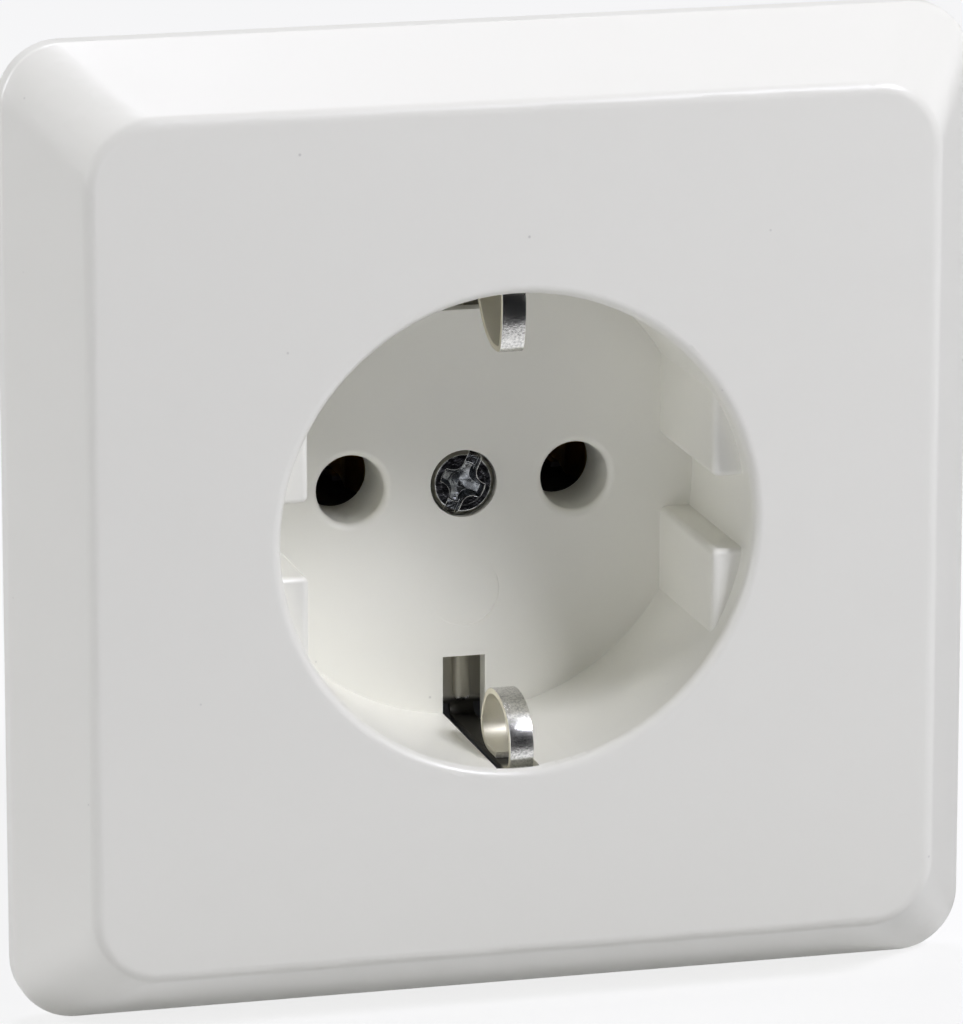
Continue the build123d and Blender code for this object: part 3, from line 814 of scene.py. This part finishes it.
class SOCKET_OT_cover(bpy.types.Operator):
    """Make the one-piece cover with its keyed well"""

    bl_idname = "socket.cover"
    bl_label = "Cover"

    def execute(self, context):
        edges = context.scene.socket_edges
        plastic = cover_plastic(context.scene.socket_finishes)
        softened_node("cover_moulding", "cover", edges.cover, edges, plastic, "cover_plastic")
        return {"FINISHED"}


class SOCKET_OT_cover_screw(bpy.types.Operator):
    """Make the cover screw with its slot and cross"""

    bl_idname = "socket.cover_screw"
    bl_label = "Cover Screw"

    def execute(self, context):
        edges_and_painted_light = screw_plating(context.scene.socket_finishes)
        piece = new_piece("cover_screw_painted_light", screw_work(context.scene.socket_screw), edges_and_painted_light, math.pi)
        stand_for(piece, "zinc_steel", "cover_screw")
        finish_nodes(zinc_plating(context.scene.socket_finishes), "cover_nut")
        return {"FINISHED"}


class SOCKET_OT_earth_strip(bpy.types.Operator):
    """Make the tinned earth strip with its bridge and two spring loops"""

    bl_idname = "socket.earth_strip"
    bl_label = "Earth Strip"

    def execute(self, context):
        scene = context.scene
        strip = scene.socket_strip
        tin = tinned_spring(scene.socket_finishes)
        tree = strip_tree()
        upper = swept_loop("upper_loop", TOP_LOOP, 0.0, strip, tree, tin)
        lower = swept_loop("lower_loop", BOTTOM_LOOP, strip.lower_shift, strip, tree, tin)
        work = bridge_work(strip)
        add_loop(work, upper, TOP_CENTRE, strip)
        add_loop(work, lower, BOTTOM_CENTRE, strip)
        piece = new_piece("earth_strip", work, tin, scene.socket_edges.sharp_angle)
        stand_for(piece, "tinned_spring", "earth_bracket")
        return {"FINISHED"}


class SOCKET_OT_frame(bpy.types.Operator):
    """Make the pressed mounting frame"""

    bl_idname = "socket.frame"
    bl_label = "Mounting Frame"

    def execute(self, context):
        edges = context.scene.socket_edges
        steel = plated_metal("frame_plating", context.scene.socket_finishes.steel, 1500.0, 0.29, 0.45, 0.82)
        softened_node("frame_pressing", "mounting_frame", edges.frame, edges, steel, "frame_steel")
        return {"FINISHED"}


class SOCKET_OT_carrier(bpy.types.Operator):
    """Make the contact carrier and its rear cover"""

    bl_idname = "socket.carrier"
    bl_label = "Carrier"

    def execute(self, context):
        edges = context.scene.socket_edges
        dark = carrier_plastic(context.scene.socket_finishes)
        softened_node("carrier_body", "contact_carrier", edges.carrier, edges, dark, "carrier_plastic")
        softened_node("rear_lid", "rear_cover", edges.carrier, edges, dark, "carrier_plastic")
        return {"FINISHED"}


class SOCKET_OT_fasteners(bpy.types.Operator):
    """Make the rows of rivets and terminal screws"""

    bl_idname = "socket.fasteners"
    bl_label = "Rivets and Terminal Screws"

    def execute(self, context):
        edges = context.scene.socket_edges
        zinc = zinc_plating(context.scene.socket_finishes)
        tree = row_tree()
        rows = ("frame_rivets", "live_terminal_screws", "neutral_terminal_screws", "earth_terminal_screws")
        for node in rows:
            fastener_pair(node + "_row", node, tree, edges, zinc, "zinc_steel")
        finish_nodes(zinc, "live_clamp_plate", "neutral_clamp_plate", "earth_clamp_plate")
        return {"FINISHED"}


class SOCKET_OT_contacts(bpy.types.Operator):
    """Give the contacts, terminals and grip springs their finish"""

    bl_idname = "socket.contacts"
    bl_label = "Contacts and Terminals"

    def execute(self, context):
        finish = context.scene.socket_finishes
        brass = plated_metal("contact_brass_rolled", finish.brass, 2200.0, 0.29, 0.38, 0.8)
        finish_nodes(brass, "live_contact", "neutral_contact")
        finish_nodes(brass, "live_terminal", "neutral_terminal", "earth_terminal")
        spring = plated_metal("spring_steel_blued", finish.spring, 2600.0, 0.29, 0.4, 0.75)
        finish_nodes(spring, "live_grip_spring", "neutral_grip_spring")
        return {"FINISHED"}


class SOCKET_OT_stage(bpy.types.Operator):
    """Make the floor, the cards, the lamps, the world and the camera"""

    bl_idname = "socket.stage"
    bl_label = "Stage"

    def execute(self, context):
        scene = context.scene
        scene.view_settings.view_transform = "Standard"
        make_floor(scene.socket_finishes)
        make_cards(scene.socket_finishes)
        make_world()
        for lamp in LAMPS:
            make_lamp(*lamp)
        make_camera()
        return {"FINISHED"}


# Stage


def background_ray(tree):
    """One where a ray goes straight to the camera, or comes by way of a mirror or a clear body."""
    path = tree.nodes.new("ShaderNodeLightPath")
    seen = add_node(
        tree,
        "ShaderNodeMath",
        ((path.outputs["Is Camera Ray"], 0), (path.outputs["Is Glossy Ray"], 1)),
        operation="MAXIMUM",
    )
    shown = add_node(
        tree,
        "ShaderNodeMath",
        ((seen.outputs[0], 0), (path.outputs["Is Transmission Ray"], 1)),
        operation="MAXIMUM",
    )
    return shown.outputs[0]


def stage_plane(name, corners, material):
    mesh = bpy.data.meshes.new(name)
    mesh.from_pydata(corners, [], [(0, 1, 2, 3)])
    mesh.materials.append(material)
    plane = bpy.data.objects.new(name, mesh)
    bpy.context.scene.collection.objects.link(plane)
    return plane


def make_floor(finish):
    """A pale floor that shows white with a light shadow."""
    material = new_material("pale_floor")
    tree = material.node_tree
    pale = add_node(tree, "ShaderNodeBsdfDiffuse", Color=(*finish.floor, 1.0))
    shown_pale = add_node(tree, "ShaderNodeBsdfDiffuse", Color=(0.97, 0.97, 0.97, 1.0))
    white = add_node(tree, "ShaderNodeEmission", Strength=1.0)
    shown = add_node(
        tree, "ShaderNodeMixShader", ((shown_pale.outputs[0], 1), (white.outputs[0], 2)), Fac=0.8
    )
    choice = add_node(
        tree,
        "ShaderNodeMixShader",
        ((background_ray(tree), 0), (pale.outputs[0], 1), (shown.outputs[0], 2)),
    )
    add_node(tree, "ShaderNodeOutputMaterial", ((choice.outputs[0], "Surface"),))
    level = cad_low.z - FLOOR_DROP
    sides = ((-1.0, -1.0), (1.0, -1.0), (1.0, 1.0), (-1.0, 1.0))
    corners = [(FLOOR_HALF * x, FLOOR_HALF * y, level) for x, y in sides]
    stage_plane("floor", corners, material)


def card_finish(name, tone):
    material = new_material(name)
    tree = material.node_tree
    even = add_node(tree, "ShaderNodeEmission", Color=(*tone, 1.0), Strength=1.0)
    add_node(tree, "ShaderNodeOutputMaterial", ((even.outputs[0], "Surface"),))
    return material


def make_cards(finish):
    """Dark cards in front and grey ones behind, upright and on the floor, seen only in reflections."""
    dark = card_finish("dark_card", finish.card)
    grey = card_finish("grey_card", finish.rear_card)
    level = cad_low.z + CARD_LIFT
    # name, finish, left and right, depth of the far and the near edge, height of the near edge
    cards = (
        ("upright_card", dark, -0.7, 1.1, -1.5, -1.5, 3.2),
        ("lying_card", dark, -0.3, 0.5, -1.5, -0.095, level),
        ("rear_upright_card", grey, -1.4, 1.6, 1.3, 1.3, 0.55),
        ("rear_lying_card", grey, -1.4, 1.6, 1.3, 0.001, level),
    )
    for name, material, left, right, far, near, top in cards:
        corners = [(left, far, level), (right, far, level), (right, near, top), (left, near, top)]
        card = stage_plane(name, corners, material)
        card.visible_camera = False
        card.visible_diffuse = False
        card.visible_shadow = False
        card.visible_transmission = False


def make_world():
    world = bpy.data.worlds.new("studio")
    world.use_nodes = True
    tree = world.node_tree
    tree.nodes.clear()
    soft = add_node(tree, "ShaderNodeBackground", Color=(1.0, 1.0, 1.0, 1.0), Strength=0.03)
    white = add_node(tree, "ShaderNodeBackground", Color=(1.0, 1.0, 1.0, 1.0), Strength=1.0)
    choice = add_node(
        tree,
        "ShaderNodeMixShader",
        ((background_ray(tree), 0), (soft.outputs[0], 1), (white.outputs[0], 2)),
    )
    add_node(tree, "ShaderNodeOutputWorld", ((choice.outputs[0], "Surface"),))
    bpy.context.scene.world = world


def make_lamp(name, bearing, height, distance, side, power, blue):
    """A soft square lamp facing the object."""
    turn, rise = math.radians(bearing), math.radians(height)
    heading = Vector((math.sin(turn) * math.cos(rise), -math.cos(turn) * math.cos(rise), math.sin(rise)))
    place = heading * distance
    lamp = bpy.data.lights.new(name, "AREA")
    lamp.shape = "SQUARE"
    lamp.size = side
    lamp.energy = power
    lamp.color = (1.0, 1.0, blue)
    holder = bpy.data.objects.new(name, lamp)
    holder.location = place
    holder.rotation_mode = "QUATERNION"
    holder.rotation_quaternion = (-place).to_track_quat("-Z", "Y")
    bpy.context.scene.collection.objects.link(holder)


def make_camera():
    camera = bpy.data.cameras.new("camera")
    camera.sensor_width = 36.0
    camera.lens = CAMERA_LENS
    camera.clip_start = 0.01
    camera.clip_end = 100.0
    holder = bpy.data.objects.new("camera", camera)
    holder.location = CAMERA_PLACE
    holder.rotation_euler = (math.radians(90.0 - CAMERA_PITCH), 0.0, math.radians(CAMERA_TURN))
    bpy.context.scene.collection.objects.link(holder)
    bpy.context.scene.camera = holder


# Panel and registration


class SOCKET_PT_panel(bpy.types.Panel):
    """Lists the socket's pieces and its stage"""

    bl_idname = "SOCKET_PT_panel"
    bl_label = "Flush Socket"
    bl_space_type = "VIEW_3D"
    bl_region_type = "UI"
    bl_category = "Flush Socket"

    def draw(self, context):
        for name in GROUPS:
            box = self.layout.box()
            group = getattr(context.scene, name)
            for key in group.bl_rna.properties.keys():
                if key not in ("rna_type", "name"):
                    box.prop(group, key)
        for operator in OPERATORS:
            self.layout.operator(operator.bl_idname)


GROUPS = {
    "socket_edges": SocketEdges,
    "socket_strip": SocketStrip,
    "socket_screw": SocketScrew,
    "socket_finishes": SocketFinishes,
}
OPERATORS = (
    SOCKET_OT_cover,
    SOCKET_OT_cover_screw,
    SOCKET_OT_earth_strip,
    SOCKET_OT_frame,
    SOCKET_OT_carrier,
    SOCKET_OT_fasteners,
    SOCKET_OT_contacts,
    SOCKET_OT_stage,
)
CLASSES = (*GROUPS.values(), *OPERATORS, SOCKET_PT_panel)


def register():
    for item in CLASSES:
        bpy.utils.register_class(item)
    for name, group in GROUPS.items():
        setattr(bpy.types.Scene, name, PointerProperty(type=group))


def unregister():
    for name in GROUPS:
        delattr(bpy.types.Scene, name)
    for item in reversed(CLASSES):
        bpy.utils.unregister_class(item)


def main():
    register()
    bpy.ops.socket.cover()
    bpy.ops.socket.cover_screw()
    bpy.ops.socket.earth_strip()
    bpy.ops.socket.frame()
    bpy.ops.socket.carrier()
    bpy.ops.socket.fasteners()
    bpy.ops.socket.contacts()
    bpy.ops.socket.stage()


if __name__ == "__main__":
    main()
